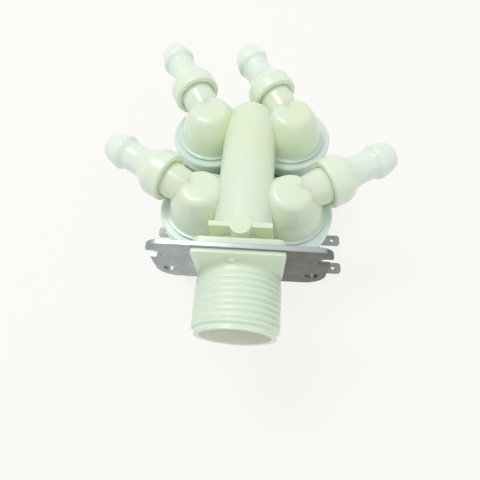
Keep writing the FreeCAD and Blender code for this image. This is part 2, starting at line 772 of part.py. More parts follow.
def makePlunger(label, side, rank):
    """Steel plunger with a pocket for its rubber seal above and for its spring below."""
    edge = d.plungerAcross / 2
    bevel = d.sealProud / 2
    pocket = d.springPocket / 2
    seal = d.sealAcross / 2
    sealFoot = sealTop + d.sealLong
    corners = [
        (0, -sealFoot),
        (seal, -sealFoot),
        (seal, -plungerTop),
        (edge - bevel, -plungerTop),
        (edge, -plungerTop - bevel),
        (edge, -plungerFoot),
        (pocket, -plungerFoot),
        (pocket, d.springPocketDeep - plungerFoot),
        (0, d.springPocketDeep - plungerFoot),
    ]
    corners.reverse()
    turnedPiece(label, corners, side, rank)


def makePlungerSeal(label, side, rank):
    """Rubber tip that closes the pilot hole."""
    seal = d.sealAcross / 2
    sealFoot = sealTop + d.sealLong
    corners = [(0, -sealFoot), (seal, -sealFoot), (seal, -sealTop), (0, -sealTop)]
    turnedPiece(label, corners, side, rank)


def makeSpring(label, side, rank):
    """Wire swept along a helix between the tube's end and the plunger's pocket. The wire has six flats."""
    radius = float(d.springAcross) / 2
    wire = float(d.springWire) / 2
    low = -float(springSeat) + wire
    high = float(d.springPocketDeep - plungerFoot) - wire
    helix = Part.makeHelix((high - low) / float(d.springTurns), high - low, radius)
    corners = [math.radians(60 * number) for number in range(6)]
    points = [Vector(radius + wire * math.cos(turn), 0, wire * math.sin(turn)) for turn in corners]
    section = Part.makePolygon(points + points[:1])
    spring = doc.addObject("Part::Feature", label)
    spring.Shape = Part.Wire(helix).makePipeShell([section], True, True)
    spring.Placement = Placement(Vector(side * float(d.columnSide), float(stationY(rank)), low), Rotation())


def makeBobbin(label, side, rank):
    """Coil former: upper flange, tube with room for the yoke's sleeves, and thick base."""
    bore = d.tubeOutside / 2 + d.looseGap
    sleeve = d.yokeSleeve / 2 + d.looseGap
    tube = d.bobbinTube / 2
    flange = d.bobbinFlange / 2
    room = d.yokeSleeveLong + d.looseGap
    corners = [
        (bore, room - coilFoot),
        (sleeve, room - coilFoot),
        (sleeve, -coilFoot),
        (flange, -coilFoot),
        (flange, d.bobbinBaseThick - coilFoot),
        (tube, d.bobbinBaseThick - coilFoot),
        (tube, -coilTop - d.bobbinFlangeThick),
        (flange, -coilTop - d.bobbinFlangeThick),
        (flange, -coilTop),
        (sleeve, -coilTop),
        (sleeve, -coilTop - room),
        (bore, -coilTop - room),
    ]
    turnedPiece(label, corners, side, rank)


def makeWinding(label, side, rank):
    """Copper winding as one ring between the bobbin's flanges."""
    inner = d.bobbinTube / 2 + d.fitGap
    outer = d.windingAcross / 2
    foot = d.bobbinBaseThick + d.fitGap - coilFoot
    top = -coilTop - d.bobbinFlangeThick - d.fitGap
    turnedPiece(label, [(inner, foot), (outer, foot), (outer, top), (inner, top)], side, rank)


def makeJacket(label, side, rank):
    """Moulded jacket round the winding, with the terminal block at its foot."""
    body = newBody(label)
    outer = d.jacketAcross / 2
    inner = d.bobbinFlange / 2 + d.fitGap
    bend = d.yokeCorner - d.yokeThick
    corners = [
        (inner, -coilFoot),
        (outer - bend, -coilFoot),
        (outer, bend - coilFoot),
        (outer, -coilTop - bend),
        (outer - bend, -coilTop),
        (inner, -coilTop),
    ]
    revolve(body, outline(newSketch(body, "XZ_Plane"), corners))
    place = Placement(Vector(0, 0, -float(coilFoot)), Rotation())
    sketch = newSketch(body, "XY_Plane", place)
    sketch.setExpression("AttachmentOffset.Base.z", (-coilFoot).text)
    half = d.blockWide / 2
    root = outer - d.tabThick * 2
    outline(sketch, [(root, -half), (d.blockReach, -half), (d.blockReach, half), (root, half)])
    extrude(body, sketch, d.bobbinBaseThick)
    bore = newSketch(body, "XY_Plane", place)
    bore.setExpression("AttachmentOffset.Base.z", (-coilFoot).text)
    ring(bore, asSize(0), asSize(0), inner * 2)
    extrude(body, bore, d.bobbinBaseThick, cut=True, reverse=True)
    slots = newSketch(body, "XY_Plane", Placement(Vector(0, 0, -float(d.tabHeight)), Rotation()))
    slots.setExpression("AttachmentOffset.Base.z", (-d.tabHeight).text)
    reach = d.tabWide / 2 + d.fitGap
    for hand in (-1, 1):
        middle = d.tabPitch / 2 * hand
        outline(
            slots,
            [
                (d.tabRoot - d.fitGap, middle - reach),
                (d.blockReach + 1, middle - reach),
                (d.blockReach + 1, middle + reach),
                (d.tabRoot - d.fitGap, middle + reach),
            ],
        )
    extrude(body, slots, d.tabThick, cut=True, middle=True)
    atStation(body, side, rank)


def makeTerminals(label, side, rank):
    """Two flat tabs with bevelled corners and a hole each."""
    body = newBody(label)
    body.AllowCompound = True
    sketch = newSketch(body, "XY_Plane", Placement(Vector(0, 0, -float(d.tabHeight)), Rotation()))
    sketch.setExpression("AttachmentOffset.Base.z", (-d.tabHeight).text)
    half = d.tabWide / 2
    bevel = d.tabBevel
    for hand in (-1, 1):
        middle = d.tabPitch / 2 * hand
        outline(
            sketch,
            [
                (d.tabRoot, middle - half),
                (d.tabReach - bevel, middle - half),
                (d.tabReach, middle - half + bevel),
                (d.tabReach, middle + half - bevel),
                (d.tabReach - bevel, middle + half),
                (d.tabRoot, middle + half),
            ],
        )
        ring(sketch, d.tabReach - d.tabHoleInset, middle, d.tabHole)
    extrude(body, sketch, d.tabThick, middle=True)
    atStation(body, side, rank)


def makeYoke(label, side, rank):
    """Steel strap folded into a closed frame, with sleeves drawn inwards round the guide tube."""
    body = newBody(label)
    sketch = newSketch(body, "YZ_Plane")
    half = d.yokeDeep / 2
    thick = d.yokeThick
    bend = d.yokeCorner
    for inset, radius in ((asSize(0), bend), (thick, bend - thick)):
        side_ = half - inset
        top = -d.bossFoot - inset
        foot = inset - d.yokeFoot
        outline(
            sketch,
            [
                (side_ - radius, foot),
                (side_, foot + radius, radius, 1),
                (side_, top - radius),
                (side_ - radius, top, radius, 1),
                (radius - side_, top),
                (-side_, top - radius, radius, 1),
                (-side_, foot + radius),
                (radius - side_, foot, radius, 1),
            ],
        )
    extrude(body, sketch, d.yokeWide, middle=True)
    bore = d.tubeOutside / 2 + d.fitGap
    sleeve = d.yokeSleeve / 2
    for low, high in ((-d.yokeFoot, d.yokeSleeveLong - coilFoot), (-coilTop - d.yokeSleeveLong, -d.bossFoot)):
        corners = [(0, low), (sleeve, low), (sleeve, high), (0, high)]
        revolve(body, outline(newSketch(body, "XZ_Plane"), corners))
    corners = [(0, -d.yokeFoot), (bore, -d.yokeFoot), (bore, -d.bossFoot), (0, -d.bossFoot)]
    revolve(body, outline(newSketch(body, "XZ_Plane"), corners), cut=True)
    atStation(body, side, rank)


def makeClip(label, side, rank):
    """Push-on ring under the yoke, with slits between its gripping teeth."""
    body = newBody(label)
    top = -d.yokeFoot
    inner = d.tubeOutside / 2 + d.fitGap / 2
    outer = d.clipAcross / 2
    corners = [(inner, top - d.clipThick), (outer, top - d.clipThick), (outer, top), (inner, top)]
    revolve(body, outline(newSketch(body, "XZ_Plane"), corners))
    sketch = newSketch(body, "XY_Plane", Placement(Vector(0, 0, float(top)), Rotation()))
    sketch.setExpression("AttachmentOffset.Base.z", top.text)
    half = d.clipThick
    reach = (inner + outer) / 2
    outline(sketch, [(0, -half), (reach, -half), (reach, half), (0, half)])
    slit = extrude(body, sketch, d.clipThick, cut=True)
    spread = body.newObject("PartDesign::PolarPattern", "Slits")
    spread.Originals = [slit]
    spread.Axis = (sketch, ["N_Axis"])
    spread.Angle = 360
    spread.Occurrences = int(float(d.clipTeeth))
    spread.setExpression("Occurrences", d.clipTeeth.text)
    body.Tip = spread
    atStation(body, side, rank)


MAKERS = (
    ("nozzle", makeNozzle),
    ("guide_tube", makeGuideTube),
    ("diaphragm", makeDiaphragm),
    ("pilot_insert", makePilotInsert),
    ("plunger", makePlunger),
    ("plunger_seal", makePlungerSeal),
    ("return_spring", makeSpring),
    ("bobbin", makeBobbin),
    ("winding", makeWinding),
    ("coil_jacket", makeJacket),
    ("terminals", makeTerminals),
    ("yoke", makeYoke),
    ("coil_clip", makeClip),
)


def main():
    makeValveBody()
    makeBracket()
    makeStrainer()
    makeRegulator()
    makeFlowWasher()
    for name, side, rank in STATIONS:
        for piece, maker in MAKERS:
            maker("%s_%s" % (piece, name), side, rank)
    doc.recompute()
    for thing in doc.Objects:
        if "Invalid" in thing.State or "Error" in thing.State:
            raise RuntimeError("%s of %s failed" % (thing.Name, thing.Label))
    pieces = [thing for thing in doc.Objects if thing.TypeId in ("PartDesign::Body", "Part::Feature")]
    for piece in pieces:
        if piece.Shape.isNull() or not piece.Shape.isValid():
            raise RuntimeError("%s has no valid shape" % piece.Label)
    os.makedirs("parts", exist_ok=True)
    for piece in pieces:
        piece.Shape.exportStep("parts/%s.step" % piece.Label)
        print("%-28s %d solid %9.1f mm3" % (piece.Label, len(piece.Shape.Solids), piece.Shape.Volume))


main()
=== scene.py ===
# Washing machine inlet valve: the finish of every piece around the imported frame
import json
import math

import bmesh
import bpy
import numpy as np
from mathutils import Matrix, Vector


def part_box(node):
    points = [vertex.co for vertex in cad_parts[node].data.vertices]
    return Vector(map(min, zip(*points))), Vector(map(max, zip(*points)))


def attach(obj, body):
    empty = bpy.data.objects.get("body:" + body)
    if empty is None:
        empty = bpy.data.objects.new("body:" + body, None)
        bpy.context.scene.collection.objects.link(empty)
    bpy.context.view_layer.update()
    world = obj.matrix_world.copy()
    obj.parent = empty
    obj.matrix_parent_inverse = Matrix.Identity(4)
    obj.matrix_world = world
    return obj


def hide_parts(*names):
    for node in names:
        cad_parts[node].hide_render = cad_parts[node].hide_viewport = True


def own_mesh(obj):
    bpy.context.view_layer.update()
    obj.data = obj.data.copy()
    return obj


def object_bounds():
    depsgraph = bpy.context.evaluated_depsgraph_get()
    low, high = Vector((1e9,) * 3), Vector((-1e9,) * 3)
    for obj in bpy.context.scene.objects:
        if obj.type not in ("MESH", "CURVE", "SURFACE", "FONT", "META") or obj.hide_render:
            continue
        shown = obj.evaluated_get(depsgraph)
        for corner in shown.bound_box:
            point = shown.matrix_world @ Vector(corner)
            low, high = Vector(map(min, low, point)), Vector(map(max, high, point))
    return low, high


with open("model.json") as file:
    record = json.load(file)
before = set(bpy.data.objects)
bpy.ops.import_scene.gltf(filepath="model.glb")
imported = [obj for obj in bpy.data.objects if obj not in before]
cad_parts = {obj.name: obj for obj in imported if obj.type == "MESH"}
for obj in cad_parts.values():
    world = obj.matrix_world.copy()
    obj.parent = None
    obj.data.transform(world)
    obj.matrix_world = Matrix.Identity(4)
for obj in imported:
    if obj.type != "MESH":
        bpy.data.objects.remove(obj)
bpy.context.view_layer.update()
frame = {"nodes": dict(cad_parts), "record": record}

mm = 0.001
housing = "housing"
stations = ("front_left", "front_right", "rear_left", "rear_right")
mounts = {mount["name"]: mount for mount in frame["record"]["mounts"]}
tailReach = 39.2  # from a turret's axis to the tip of its hose tail
smoothLimit = 32  # degrees at which a dressed solid's edge stays sharp
weld = 2e-6  # metres within which corners of a solid are one
roundingShare = 0.48  # most of a profile's side that a rounding takes
supportShare = 0.06  # place of the extra points on a straight side


# Meshes

def linked(name, data):
    piece = bpy.data.objects.new(name, data)
    bpy.context.scene.collection.objects.link(piece)
    return piece


def linkMesh(name, points, faces, material, smoothAngle=35):
    # points is an array of corners in millimetres, faces a list of corner numbers
    mesh = bpy.data.meshes.new(name)
    mesh.from_pydata((points * mm).tolist(), [], faces)
    mesh.materials.append(material)
    piece = linked(name, mesh)
    facesOutwards(piece)
    smoothShade(mesh, smoothAngle)
    return piece


def smoothShade(mesh, angle):
    mesh.polygons.foreach_set("use_smooth", np.ones(len(mesh.polygons), bool))
    mesh.set_sharp_from_angle(angle=math.radians(angle))
    mesh.update()


def gridFaces(rows, columns, closedRows, closedColumns):
    # quads between neighbouring rows and columns, wrapped where the surface closes on itself
    i = np.arange(rows if closedRows else rows - 1)
    j = np.arange(columns if closedColumns else columns - 1)
    i, j = np.meshgrid(i, j, indexing="ij")
    nextI = (i + 1) % rows
    nextJ = (j + 1) % columns
    quads = np.stack([i * columns + j, i * columns + nextJ, nextI * columns + nextJ, nextI * columns + j], -1)
    return quads.reshape(-1, 4).tolist()


def roundedLoop(corners, steps=6):
    # each corner (along, radius, rounding) becomes a quadratic curve between points set back from it by its
    # rounding; a straight run keeps extra points near its ends so that the shading stays flat
    corners = np.array(corners, float)
    points = corners[:, :2]
    before = np.roll(points, 1, 0) - points
    after = np.roll(points, -1, 0) - points
    lengthBefore = np.linalg.norm(before, axis=1)
    lengthAfter = np.linalg.norm(after, axis=1)
    setBack = np.minimum(corners[:, 2], roundingShare * np.minimum(lengthBefore, lengthAfter))[:, None]
    start = points + before / lengthBefore[:, None] * setBack
    stop = points + after / lengthAfter[:, None] * setBack
    t = np.linspace(0, 1, steps)[None, :, None]
    curve = start[:, None] * (1 - t) ** 2 + 2 * points[:, None] * t * (1 - t) + stop[:, None] * t ** 2
    gap = np.roll(start, -1, 0) - stop
    support = np.stack([stop + gap * supportShare, stop + gap * (1 - supportShare)], 1)
    return np.concatenate([curve, support], 1).reshape(-1, 2)


def roundedLine(corners, steps=8):
    # an open profile: inner corners are rounded as in roundedLoop, the two ends stay
    corners = np.array(corners, float)
    points = corners[:, :2]
    line = [points[:1]]
    t = np.linspace(0, 1, steps)[:, None]
    for k in range(1, len(points) - 1):
        before = points[k - 1] - points[k]
        after = points[k + 1] - points[k]
        most = roundingShare * min(np.linalg.norm(before), np.linalg.norm(after))
        setBack = min(corners[k, 2], most)
        start = points[k] + before / np.linalg.norm(before) * setBack
        stop = points[k] + after / np.linalg.norm(after) * setBack
        line.append(start * (1 - t) ** 2 + 2 * points[k] * t * (1 - t) + stop * t ** 2)
    line.append(points[-1:])
    return np.concatenate(line)


def splitAt(profile, place):
    # one more row where the profile passes the place, on the straight line between its neighbours
    at = int(np.searchsorted(profile[:, 0], place))
    share = (place - profile[at - 1, 0]) / (profile[at, 0] - profile[at - 1, 0])
    return np.insert(profile, at, profile[at - 1] + share * (profile[at] - profile[at - 1]), axis=0)


def turned(profile, around, origin, axis):
    # profile points (along, radius): origin + along * axis + radius * spoke, for spokes all round the axis
    axis = np.array(axis, float)
    axis /= np.linalg.norm(axis)
    helper = np.array([0.0, 0.0, 1.0]) if abs(axis[2]) < 0.9 else np.array([1.0, 0.0, 0.0])
    sideways = np.cross(helper, axis)
    sideways /= np.linalg.norm(sideways)
    upwards = np.cross(axis, sideways)
    turn = np.linspace(0, 2 * np.pi, around, endpoint=False)
    spoke = np.cos(turn)[:, None] * sideways + np.sin(turn)[:, None] * upwards
    along = profile[:, 0][:, None, None] * axis
    across = profile[:, 1][:, None, None] * spoke[None]
    return (np.array(origin, float) + along + across).reshape(-1, 3)


def facesOutwards(piece):
    work = bmesh.new()
    work.from_mesh(piece.data)
    bmesh.ops.recalc_face_normals(work, faces=work.faces)
    work.to_mesh(piece.data)
    work.free()


def mergedCopy(node, name, flatten=0.4):
    # a welded copy of a solid, its flat faces joined into whole ones; the stored normals go, because they
    # don't fit the welded corners
    mesh = frame["nodes"][node].data.copy()
    mesh.materials.clear()
    mesh.name = name
    stored = mesh.attributes.get("custom_normal")
    if stored:
        mesh.attributes.remove(stored)
    work = bmesh.new()
    work.from_mesh(mesh)
    bmesh.ops.remove_doubles(work, verts=work.verts, dist=weld)
    if flatten:
        bmesh.ops.dissolve_limit(work, angle_limit=math.radians(flatten), verts=work.verts, edges=work.edges)
    work.to_mesh(mesh)
    work.free()
    return linked(name, mesh)


def softEdges(piece, width, segments=2, angle=smoothLimit):
    bevel = piece.modifiers.new("edges", "BEVEL")
    bevel.width = width * mm
    bevel.segments = segments
    bevel.limit_method = "ANGLE"
    bevel.angle_limit = math.radians(angle)
    bevel.harden_normals = True
    bevel.use_clamp_overlap = True


def bodyOf(node):
    for body, members in frame["record"]["behaviour"]["bodies"].items():
        if node in members:
            return body
    return housing


def dressed(node, material, edge=0.0, flatten=0.4):
    # a node's own form with soft edges and its finish
    piece = mergedCopy(node, node + "_finish", flatten)
    piece.data.materials.append(material)
    smoothShade(piece.data, smoothLimit)
    if edge:
        softEdges(piece, edge)
    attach(piece, bodyOf(node))
    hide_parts(node)
    return piece


# Finishes

def newFinish(name):
    material = bpy.data.materials.new(name)
    material.use_nodes = True
    shader = material.node_tree.nodes["Principled BSDF"]
    return material, material.node_tree, shader


def objectNoise(tree, scale, detail=3.0, stretch=(1, 1, 1)):
    # noise on Object coordinates, scale in cycles to the metre
    place = tree.nodes.new("ShaderNodeTexCoord")
    mapping = tree.nodes.new("ShaderNodeMapping")
    mapping.inputs["Scale"].default_value = stretch
    noise = tree.nodes.new("ShaderNodeTexNoise")
    noise.inputs["Scale"].default_value = scale
    noise.inputs["Detail"].default_value = detail
    tree.links.new(place.outputs["Object"], mapping.inputs["Vector"])
    tree.links.new(mapping.outputs["Vector"], noise.inputs["Vector"])
    return noise.outputs["Fac"]


def ramp(tree, source, stops):
    node = tree.nodes.new("ShaderNodeValToRGB")
    while len(node.color_ramp.elements) < len(stops):
        node.color_ramp.elements.new(0.5)
    for element, (place, colour) in zip(node.color_ramp.elements, stops):
        element.position = place
        element.color = (*colour, 1)
    tree.links.new(source, node.inputs["Fac"])
    return node.outputs["Color"]


def mixColours(tree, factor, first, second, mode="MIX"):
    node = tree.nodes.new("ShaderNodeMix")
    node.data_type = "RGBA"
    node.blend_type = mode
    for socket, value in (("Factor", factor), ("A", first), ("B", second)):
        target = [entry for entry in node.inputs if entry.name == socket and entry.enabled][0]
        if isinstance(value, bpy.types.NodeSocket):
            tree.links.new(value, target)
        elif isinstance(value, tuple):
            target.default_value = (*value, 1)
        else:
            target.default_value = value
    return [entry for entry in node.outputs if entry.enabled][0]


def bumpFrom(tree, shader, height, strength, distance):
    bump = tree.nodes.new("ShaderNodeBump")
    bump.inputs["Strength"].default_value = strength
    bump.inputs["Distance"].default_value = distance * mm
    tree.links.new(height, bump.inputs["Height"])
    tree.links.new(bump.outputs["Normal"], shader.inputs["Normal"])


def remapped(tree, source, low, high, start=0.0, stop=1.0):
    # what lies between start and stop in the source runs from low to high
    node = tree.nodes.new("ShaderNodeMapRange")
    for socket, value in (("From Min", start), ("From Max", stop), ("To Min", low), ("To Max", high)):
        node.inputs[socket].default_value = value
    tree.links.new(source, node.inputs["Value"])
    return node.outputs["Result"]


def combined(tree, operation, *values):
    # a math node fed with sockets or numbers
    node = tree.nodes.new("ShaderNodeMath")
    node.operation = operation
    for socket, value in zip(node.inputs, values):
        if isinstance(value, bpy.types.NodeSocket):
            tree.links.new(value, socket)
        else:
            socket.default_value = value
    return node.outputs[0]


def inMetres(values):
    return [value * mm for value in values]


def objectPlace(tree):
    # the place on Object coordinates, whole and split into X, Y and Z
    place = tree.nodes.new("ShaderNodeTexCoord")
    split = tree.nodes.new("ShaderNodeSeparateXYZ")
    tree.links.new(place.outputs["Object"], split.inputs["Vector"])
    return place.outputs["Object"], split.outputs


def distanceFromInletAxis(tree, place):
    flat = tree.nodes.new("ShaderNodeVectorMath")
    flat.operation = "MULTIPLY"
    flat.inputs[1].default_value = (1, 0, 1)
    tree.links.new(place, flat.inputs[0])
    reach = tree.nodes.new("ShaderNodeVectorMath")
    reach.operation = "LENGTH"
    tree.links.new(flat.outputs[0], reach.inputs[0])
    return reach.outputs["Value"]


# places in millimetres; each pair says where a colour or finish starts to change and where it has changed
nylonLook = {
    "warm": (0.80, 0.885, 0.64),
    "cool": (0.80, 0.91, 0.735),
    # rim: painted cooler tone on the thin discs, standing in for the dark coil seen through their thin wall
    "rim": (0.74, 0.875, 0.79),
    "mint": (0.785, 0.90, 0.745),
    # bore: painted light, the light shining through the inlet's thin wall into its bore
    "bore": (0.95, 0.99, 0.84),
    "scatter": 0.3,
    "depth": (0.5, 0.6, 0.4),
    "rough": 0.22,
    "rimLevels": (-6.4, -3.4),
    "mintLevels": (-8, 6),
    "litBoreReach": (10.9, 11.3),
    "threadLevels": (-1.5, 0),
    "threadDull": 0.16,
}
# painted light: the tail's colours are lit copies of the body's nylon, lifted to stand in for the light its
# upright faces miss, and the rim near the tip is whiter for the light through its thin wall
litTailLook = {
    "warm": (0.84, 0.93, 0.75),
    "cool": (0.83, 0.945, 0.81),
    "rim": (0.84, 0.95, 0.85),
    "scatter": 0.35,
    "depth": (1.6, 2.0, 1.2),
    "rough": 0.22,
}


def nylonSurface(tree, shader, look, colour, dull=None):
    # glossy, slightly wavy skin over a milky depth; dull roughens it by a socket
    tree.links.new(colour, shader.inputs["Base Color"])
    finish = remapped(tree, objectNoise(tree, 700, 4.0), look["rough"] - 0.05, look["rough"] + 0.08)
    if dull is not None:
        finish = combined(tree, "MULTIPLY_ADD", dull, look["threadDull"], finish)
    tree.links.new(finish, shader.inputs["Roughness"])
    shader.inputs["Subsurface Weight"].default_value = look["scatter"]
    shader.inputs["Subsurface Radius"].default_value = look["depth"]
    shader.inputs["Subsurface Scale"].default_value = mm
    shader.inputs["IOR"].default_value = 1.53
    shader.inputs["Coat Weight"].default_value = 0.14
    shader.inputs["Coat Roughness"].default_value = 0.16
    bumpFrom(tree, shader, objectNoise(tree, 260, 3.0), 0.12, 0.25)


def bodyNylon(name, look):
    # warm and cool patches; the thin discs under the turrets get a painted cooler tone for the dark coil seen
    # through their thin wall, the thread is mint and its bore gets painted light for the light shining
    # through the thin wall
    material, tree, shader = newFinish(name)
    patches = ramp(tree, objectNoise(tree, 45, 2.0), [(0.35, look["warm"]), (0.65, look["cool"])])
    place, split = objectPlace(tree)
    # painted cooler tone on the discs below the rim levels, for the dark coil seen through the thin wall
    aboveRim = remapped(tree, split["Z"], 0, 1, *inMetres(look["rimLevels"]))
    patches = mixColours(tree, aboveRim, look["rim"], patches)
    behindThread = remapped(tree, split["Y"], 0, 1, *inMetres(look["mintLevels"]))
    patches = mixColours(tree, behindThread, look["mint"], patches)
    # painted light in the inlet's bore, for the light shining through its thin wall
    insideLitBore = remapped(tree, distanceFromInletAxis(tree, place), 1, 0, *inMetres(look["litBoreReach"]))
    onThread = remapped(tree, split["Y"], 1, 0, *inMetres(look["threadLevels"]))
    patches = mixColours(tree, combined(tree, "MULTIPLY", insideLitBore, onThread), patches, look["bore"])
    nylonSurface(tree, shader, look, patches, onThread)
    return material


def nozzleNylon(name, look):
    # the collar is warmer, the tail towards its tip cooler and whiter; the lighter tones are painted light
    # lifted above the body's nylon, and the whiter tip is painted light shining through its thin wall
    material, tree, shader = newFinish(name)
    along = tree.nodes.new("ShaderNodeAttribute")
    along.attribute_name = "along"
    blend = ramp(tree, along.outputs["Fac"], [(0.0, look["warm"]), (0.28, look["warm"]), (0.5, look["cool"]),
                                              (0.9, look["rim"])])
    cloud = mixColours(tree, objectNoise(tree, 60, 2.0), blend, look["cool"])
    nylonSurface(tree, shader, look, mixColours(tree, 0.35, blend, cloud))
    return material


# painted shade: the bracket darkens from its left wing to its right one, which lies in shade, and its top
# edge is painted a darker tone that tones down its bright reflection
bracketShade = {
    # tint: painted shade multiplied into the right wing
    "tint": (0.42, 0.39, 0.33),
    "across": (-6, 14),
    # painted shade on the top edge, toning down its reflection
    "topEdgePaintedShade": (0.40, 0.44, 0.45),
    "topLevels": (17.7, 18.2),
}


def platedSteel(name, light, dark, rough, streaks=(1, 1, 1), grain=900, shade=None):
    # plated sheet: cloudy crystals, rolled streaks and a fine grain; with a shade, painted shade darkens the
    # right side and the top edge
    material, tree, shader = newFinish(name)
    clouds = ramp(tree, objectNoise(tree, 180, 4.0), [(0.3, dark), (0.7, light)])
    if shade:
        place, split = objectPlace(tree)
        # painted shade on the right wing, multiplied by the shade's tint
        side = remapped(tree, split["X"], 0, 1, *inMetres(shade["across"]))
        clouds = mixColours(tree, side, clouds, mixColours(tree, 1.0, clouds, shade["tint"], "MULTIPLY"))
        # painted shade on the top edge
        top = remapped(tree, split["Z"], 0, 1, *inMetres(shade["topLevels"]))
        clouds = mixColours(tree, top, clouds, shade["topEdgePaintedShade"])
    lines = ramp(tree, objectNoise(tree, 260, 3.0, streaks), [(0.35, (0.9, 0.9, 0.9)), (0.65, (1, 1, 1))])
    tree.links.new(mixColours(tree, 0.6, clouds, lines, "MULTIPLY"), shader.inputs["Base Color"])
    finish = remapped(tree, objectNoise(tree, 320, 5.0), rough - 0.08, rough + 0.12)
    tree.links.new(finish, shader.inputs["Roughness"])
    shader.inputs["Metallic"].default_value = 1
    bumpFrom(tree, shader, objectNoise(tree, grain, 4.0), 0.15, 0.03)
    return material


def mouldedPlastic(name, colour, shade, rough, scatter=0.0):
    material, tree, shader = newFinish(name)
    clouds = ramp(tree, objectNoise(tree, 90, 3.0), [(0.3, shade), (0.7, colour)])
    tree.links.new(clouds, shader.inputs["Base Color"])
    finish = remapped(tree, objectNoise(tree, 500, 4.0), rough - 0.06, rough + 0.08)
    tree.links.new(finish, shader.inputs["Roughness"])
    if scatter:
        shader.inputs["Subsurface Weight"].default_value = scatter
        shader.inputs["Subsurface Radius"].default_value = (1.2, 1.2, 1.0)
        shader.inputs["Subsurface Scale"].default_value = mm
    bumpFrom(tree, shader, objectNoise(tree, 1200, 3.0), 0.2, 0.04)
    return material


def rubberFinish(name):
    material, tree, shader = newFinish(name)
    tones = [(0.3, (0.012, 0.012, 0.013)), (0.7, (0.03, 0.03, 0.032))]
    tree.links.new(ramp(tree, objectNoise(tree, 300, 4.0), tones), shader.inputs["Base Color"])
    tree.links.new(remapped(tree, objectNoise(tree, 400, 4.0), 0.5, 0.75), shader.inputs["Roughness"])
    bumpFrom(tree, shader, objectNoise(tree, 1500, 3.0), 0.25, 0.04)
    return material


def woundCopper(name):
    # enamelled wire in close turns along the coil's axis
    material, tree, shader = newFinish(name)
    place = tree.nodes.new("ShaderNodeTexCoord")
    wave = tree.nodes.new("ShaderNodeTexWave")
    wave.bands_direction = "Z"
    wave.inputs["Scale"].default_value = 800
    tree.links.new(place.outputs["Object"], wave.inputs["Vector"])
    tree.links.new(ramp(tree, wave.outputs["Fac"], [(0.0, (0.28, 0.09, 0.03)), (1.0, (0.62, 0.27, 0.11))]),
                   shader.inputs["Base Color"])
    tree.links.new(remapped(tree, objectNoise(tree, 500, 3.0), 0.25, 0.4), shader.inputs["Roughness"])
    shader.inputs["Metallic"].default_value = 0.9
    bumpFrom(tree, shader, wave.outputs["Fac"], 0.6, 0.08)
    return material


finishes = {
    "body": bodyNylon("milky_nylon_body", nylonLook),
    "nozzle": nozzleNylon("milky_nylon_nozzle", litTailLook),
    "bracket": platedSteel("zinc_plated_bracket", (0.44, 0.48, 0.49), (0.33, 0.365, 0.375), 0.38, (1, 1, 6),
                           shade=bracketShade),
    "yoke": platedSteel("plated_yoke", (0.52, 0.54, 0.56), (0.42, 0.43, 0.45), 0.42, (6, 6, 1)),
    "tin": platedSteel("tinned_tab", (0.34, 0.36, 0.36), (0.27, 0.29, 0.29), 0.46, (1, 8, 1)),
    "clip": platedSteel("stamped_ring", (0.42, 0.43, 0.45), (0.3, 0.31, 0.33), 0.35),
    "plunger": platedSteel("ground_plunger", (0.55, 0.55, 0.56), (0.45, 0.45, 0.46), 0.28, (1, 1, 20)),
    "spring": platedSteel("drawn_spring", (0.6, 0.6, 0.62), (0.5, 0.5, 0.52), 0.25),
    "rubber": rubberFinish("black_rubber"),
    "guide": mouldedPlastic("guide_tube_plastic", (0.74, 0.76, 0.70), (0.68, 0.70, 0.64), 0.42, 0.15),
    "insert": mouldedPlastic("insert_plastic", (0.78, 0.78, 0.74), (0.72, 0.72, 0.68), 0.4, 0.1),
    "bobbin": mouldedPlastic("bobbin_plastic", (0.72, 0.72, 0.68), (0.64, 0.64, 0.60), 0.45),
    "jacket": mouldedPlastic("coil_jacket_plastic", (0.74, 0.76, 0.73), (0.68, 0.70, 0.67), 0.4),
    "strainer": mouldedPlastic("strainer_plastic", (0.74, 0.82, 0.70), (0.68, 0.76, 0.64), 0.35, 0.2),
    "regulator": mouldedPlastic("regulator_plastic", (0.6, 0.62, 0.6), (0.52, 0.54, 0.52), 0.45),
    "copper": woundCopper("enamelled_copper"),
}
print("finishes ready")


# Valve body with its thread

thread = {
    "crest": 13.22,
    "root": 12.25,
    "pitch": 1.814,
    "firstCrest": -18.2,
    "plainLead": 1.3,
    "rampLead": 0.5,
    "shankStart": -4.6,
    "fade": 0.6,
    "crestShare": 0.26,
    "rootShare": 0.03,
    "leftDepth": 0.22,
    "leftPower": 1.4,
    "footHeight": 0.8,
    "facing": 0.5,
    "slack": 0.1,
    "columns": 240,
    "rowsToPitch": 14,
}


def threadSurface(mouth, foot, settings):
    # radius over (y, turn): a right-hand ridge whose height follows the place within a pitch; it starts
    # behind a plain lead at the mouth, is shallower on the left and fills up to the shank at the foot
    rows = int((foot - mouth) / settings["pitch"] * settings["rowsToPitch"])
    y = np.linspace(mouth, foot, rows)[:, None]
    turn = np.linspace(0, 2 * np.pi, settings["columns"], endpoint=False)[None, :]
    phase = (y - settings["firstCrest"]) / settings["pitch"] - (turn - np.pi / 2) / (2 * np.pi)
    away = np.abs(phase - np.round(phase)) * 2
    flanks = 1 - settings["rootShare"] - settings["crestShare"]
    height = np.clip((1 - settings["rootShare"] - away) / flanks, 0, 1)
    height = height * height * (3 - 2 * height)
    toRight = (0.5 + 0.5 * np.sin(turn)) ** settings["leftPower"]
    share = settings["leftDepth"] + (1 - settings["leftDepth"]) * toRight
    height = 1 - (1 - height) * share
    filled = np.clip((y - settings["shankStart"]) / settings["fade"], 0, 1)
    height = height + (settings["footHeight"] - height) * filled
    started = np.clip((y - mouth - settings["plainLead"]) / settings["rampLead"], 0, 1)
    radius = settings["root"] + (settings["crest"] - settings["root"]) * height * started
    radius[-1] = settings["crest"]
    points = np.stack([radius * np.sin(turn), np.broadcast_to(y, radius.shape), radius * np.cos(turn)], -1)
    return points.reshape(-1, 3), rows


